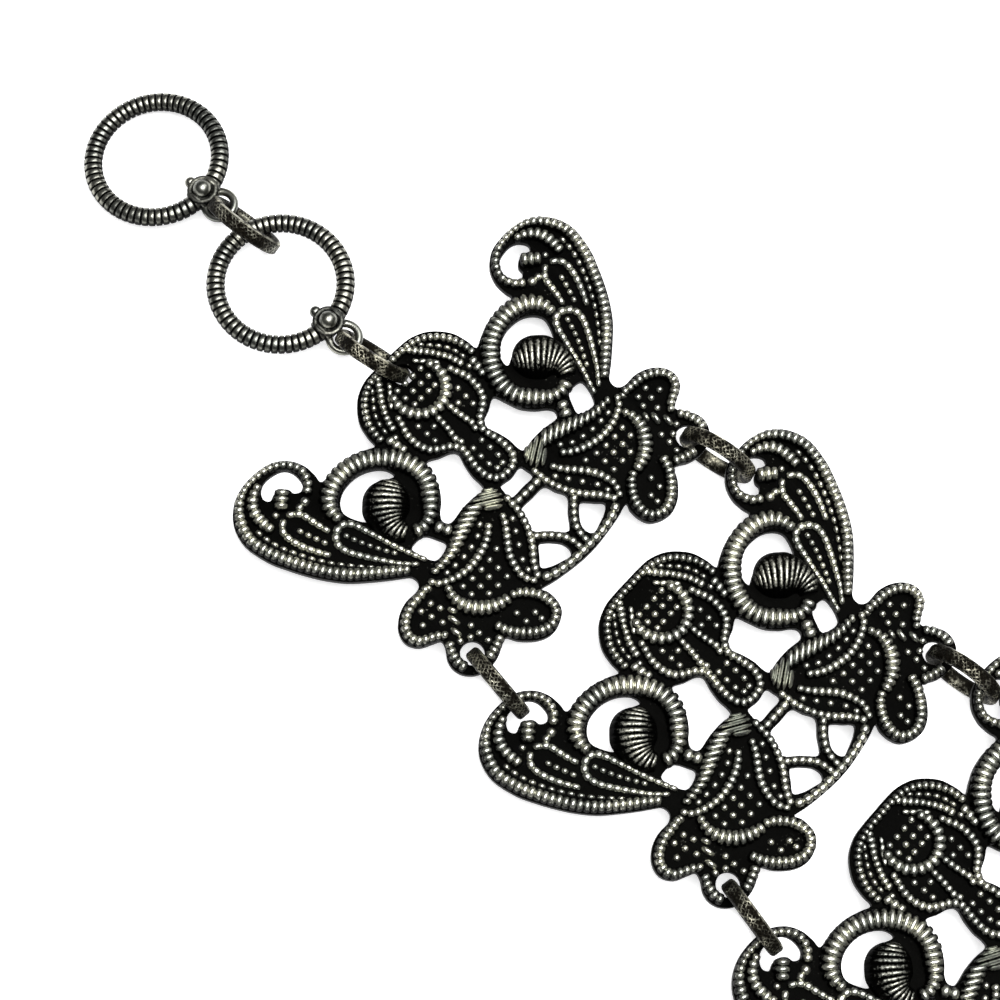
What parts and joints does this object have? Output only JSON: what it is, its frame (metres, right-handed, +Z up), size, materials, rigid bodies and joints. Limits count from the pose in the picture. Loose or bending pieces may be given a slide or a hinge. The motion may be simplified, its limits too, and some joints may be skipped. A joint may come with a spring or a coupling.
{
  "type": "panel bracelet",
  "caption": "Openwork cast panel bracelet with corded rims, fluted balls and jump links, a closing ring on two corded rings at one end and a flat hook at the other.",
  "frame": {"origin": "Middle of the bracelet's box, on the surface it lies on", "axes": "+X along the bracelet from the closing ring to the hook, +Z up out of the panels' relief, +Y across to the right-hand wings"},
  "size_m": [0.1938, 0.0424, 0.0087],
  "materials": {
    "silver": "antiqued: blackened recesses, polished ridges",
    "link_metal": "antiqued, cross-hatched band"
  },
  "bodies": {
    "root": {"end_ring": "silver", "inner_ring": "silver", "ring_link_end": "link_metal", "ring_link_inner": "link_metal", "panel_1": "silver", "panel_2": "silver", "panel_3": "silver", "panel_4": "silver", "panel_5": "silver", "link_1_left": "link_metal", "link_1_right": "link_metal", "link_2_left": "link_metal", "link_2_right": "link_metal", "link_3_left": "link_metal", "link_3_right": "link_metal", "link_4_left": "link_metal", "link_4_right": "link_metal", "link_5_left": "link_metal", "link_5_right": "link_metal", "clasp_hook": "silver"}
  },
  "joints": []
}
